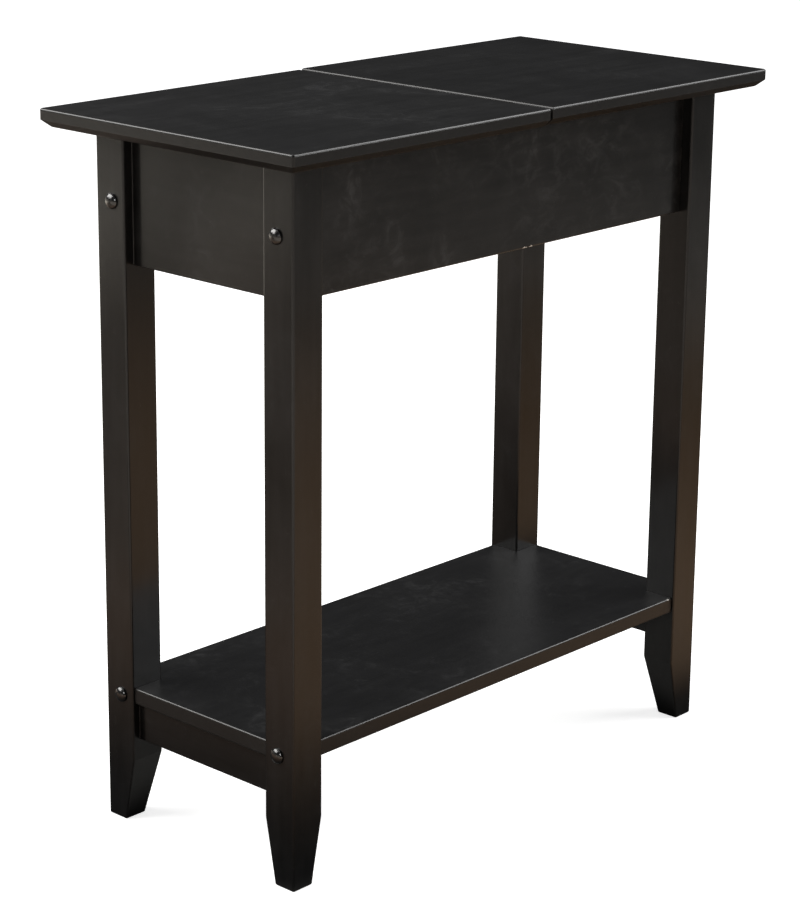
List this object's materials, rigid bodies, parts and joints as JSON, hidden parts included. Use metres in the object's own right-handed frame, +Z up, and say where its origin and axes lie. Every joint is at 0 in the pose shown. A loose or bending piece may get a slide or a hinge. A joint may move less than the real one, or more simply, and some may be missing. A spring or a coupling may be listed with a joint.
{
  "type": "flip-top nightstand",
  "caption": "Narrow painted-wood nightstand with tapered legs, a notched lower shelf and an apron box whose half top lifts on hinges to open a storage well.",
  "frame": {"origin": "on the floor plane under the middle of the top", "axes": "+Z up, X along the length with -X at the end under the lid, -Y towards the long side that faces the viewer"},
  "size_m": [0.5906, 0.2858, 0.6096],
  "materials": {
    "painted_wood": "satin black paint",
    "painted_wood_inside": "thin matte black paint",
    "dark_bolt_metal": "black oxide",
    "zinc_plated_metal": "zinc plated",
    "hinge_metal": "dark bronze plated"
  },
  "bodies": {
    "base": {"top_fixed": "painted_wood", "shelf": "painted_wood", "apron_front": "painted_wood", "apron_back": "painted_wood", "apron_left": "painted_wood", "apron_right": "painted_wood", "shelf_rail_left": "painted_wood", "shelf_rail_right": "painted_wood", "leg_front_left": "painted_wood", "leg_back_left": "painted_wood", "leg_front_right": "painted_wood", "leg_back_right": "painted_wood", "compartment_floor": "painted_wood_inside", "seam_rail": "painted_wood_inside", "cleat_front": "painted_wood_inside", "cleat_back": "painted_wood_inside", "bolt_upper_front_left": "dark_bolt_metal", "bolt_upper_front_right": "dark_bolt_metal", "bolt_upper_back_left": "dark_bolt_metal", "bolt_upper_back_right": "dark_bolt_metal", "bolt_lower_front_left": "dark_bolt_metal", "bolt_lower_front_right": "dark_bolt_metal", "bolt_lower_back_left": "dark_bolt_metal", "bolt_lower_back_right": "dark_bolt_metal", "barrel_nut_upper_front_left": "zinc_plated_metal", "barrel_nut_upper_front_right": "zinc_plated_metal", "barrel_nut_upper_back_left": "zinc_plated_metal", "barrel_nut_upper_back_right": "zinc_plated_metal", "barrel_nut_lower_front_left": "zinc_plated_metal", "barrel_nut_lower_front_right": "zinc_plated_metal", "barrel_nut_lower_back_left": "zinc_plated_metal", "barrel_nut_lower_back_right": "zinc_plated_metal", "top_screw_front_1": "zinc_plated_metal", "top_screw_front_2": "zinc_plated_metal", "top_screw_back_1": "zinc_plated_metal", "top_screw_back_2": "zinc_plated_metal", "hinge_leaf_fixed_front": "hinge_metal", "hinge_leaf_fixed_back": "hinge_metal", "hinge_screw_fixed_front_1": "hinge_metal", "hinge_screw_fixed_front_2": "hinge_metal", "hinge_screw_fixed_back_1": "hinge_metal", "hinge_screw_fixed_back_2": "hinge_metal"},
    "lid": {"top_lid": "painted_wood", "hinge_leaf_lid_front": "hinge_metal", "hinge_leaf_lid_back": "hinge_metal", "hinge_pin_front": "hinge_metal", "hinge_pin_back": "hinge_metal", "hinge_screw_lid_front_1": "hinge_metal", "hinge_screw_lid_front_2": "hinge_metal", "hinge_screw_lid_back_1": "hinge_metal", "hinge_screw_lid_back_2": "hinge_metal"}
  },
  "joints": [
    {"name": "lid_hinge", "type": "hinge", "parent": "base", "child": "lid", "pos_m": [-0.001, 0, 0.6072], "axis": [0, 1, 0], "range_deg": [0, 95]}
  ]
}
